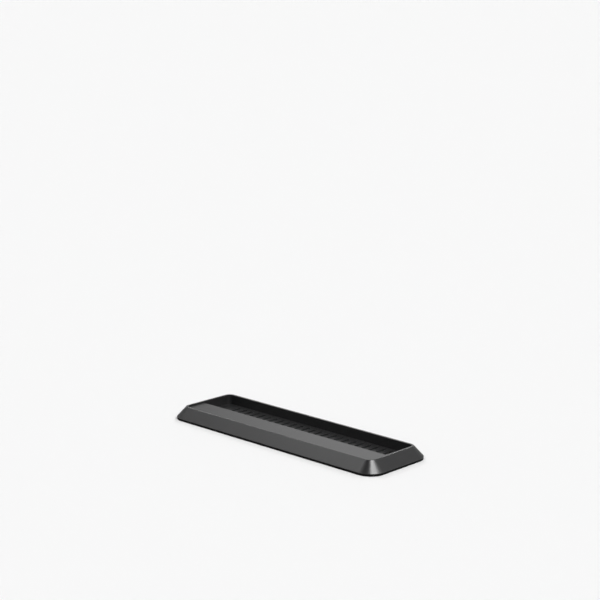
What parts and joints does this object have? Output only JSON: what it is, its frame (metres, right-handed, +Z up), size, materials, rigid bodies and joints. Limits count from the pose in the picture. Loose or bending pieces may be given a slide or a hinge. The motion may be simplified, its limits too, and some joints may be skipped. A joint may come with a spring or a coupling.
{
  "type": "console vertical stand",
  "caption": "Low black moulded stand with sloping flanks and a stepped recess that holds a game console upright on its end, with air slots in its floor and a rubber ring round its lower edge.",
  "frame": {"origin": "on the table under the middle of the stand, at the bottom of the rubber ring", "axes": "+X across the stand from the shelf to the deep trough, +Y along it from the console's front to its back, +Z up"},
  "size_m": [0.0844, 0.2742, 0.0128],
  "materials": {
    "black_plastic": "satin moulded black with a very fine grain",
    "black_rubber": "matte black"
  },
  "bodies": {
    "root": {"stand_body": "black_plastic", "base_ring": "black_rubber"}
  },
  "joints": []
}
